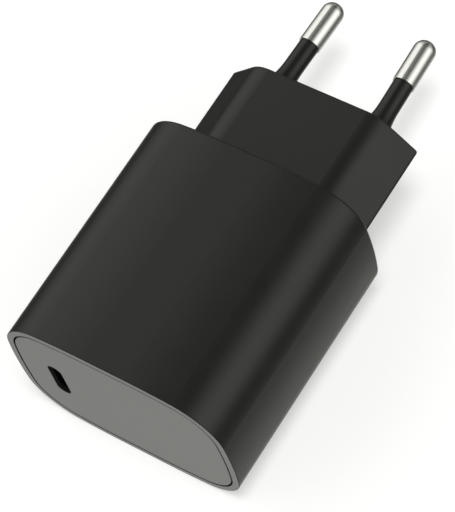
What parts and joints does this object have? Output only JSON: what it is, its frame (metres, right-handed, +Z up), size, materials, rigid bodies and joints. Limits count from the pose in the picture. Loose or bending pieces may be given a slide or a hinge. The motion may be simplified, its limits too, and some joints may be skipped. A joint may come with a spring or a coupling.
{
  "type": "usb wall charger",
  "caption": "Compact mains charger: rounded block housing, recessed hexagonal European plug with round pins, and an upright USB-C socket in a grey end face.",
  "frame": {"origin": "on the resting face, under the middle of the whole object's box", "axes": "+X across the width, +Y from the port end towards the pin tips, +Z up from the broad side it lies on"},
  "size_m": [0.0414, 0.0804, 0.0295],
  "materials": {
    "black_plastic": "matte",
    "grey_plastic": "matte",
    "sleeve_plastic": "satin",
    "nickel": "polished",
    "brass_strip": "satin",
    "port_steel": "satin",
    "port_plastic": "satin",
    "contact_gold": "polished",
    "board": "satin",
    "ferrite": "matte",
    "moulding": "satin",
    "copper": "gloss",
    "tinned": "satin",
    "triple_insulated_wire": "gloss",
    "winding_tape": "gloss",
    "can_sleeve": "gloss",
    "can_metal": "satin",
    "film_case": "satin",
    "blue_epoxy": "gloss",
    "fuse_case": "satin",
    "chip_moulding": "matte",
    "chip_ceramic": "satin",
    "spreader_metal": "satin",
    "film": "gloss",
    "barrier_sheet": "satin",
    "pad": "matte"
  },
  "bodies": {
    "root": {"housing_shell": "black_plastic", "end_frame": "grey_plastic", "front_panel": "grey_plastic", "left_pin": "nickel", "right_pin": "nickel", "left_pin_sleeve": "sleeve_plastic", "right_pin_sleeve": "sleeve_plastic", "pin_carrier": "moulding", "left_contact_strip": "brass_strip", "right_contact_strip": "brass_strip", "usb_c_shell": "port_steel", "usb_c_insulator": "port_plastic", "usb_c_contacts": "contact_gold", "main_board": "board", "port_board": "board", "transformer_core_lower": "ferrite", "transformer_core_upper": "ferrite", "transformer_bobbin": "moulding", "transformer_pins": "tinned", "transformer_primary": "copper", "transformer_secondary": "triple_insulated_wire", "transformer_tape": "winding_tape", "choke_core": "ferrite", "choke_windings": "copper", "x_capacitor": "film_case", "y_capacitor": "blue_epoxy", "varistor": "blue_epoxy", "fuse": "fuse_case", "optocoupler": "chip_moulding", "bridge_rectifier": "chip_moulding", "primary_controller": "chip_moulding", "sync_rectifier": "chip_moulding", "port_controller": "chip_moulding", "chip_components": "chip_ceramic", "heat_spreader": "spreader_metal", "insulating_film": "film", "insulation_barrier": "barrier_sheet", "thermal_pad": "pad", "bulk_capacitor_left": "can_sleeve", "bulk_capacitor_right": "can_sleeve", "output_capacitor_left": "can_metal", "output_capacitor_right": "can_metal"}
  },
  "joints": []
}
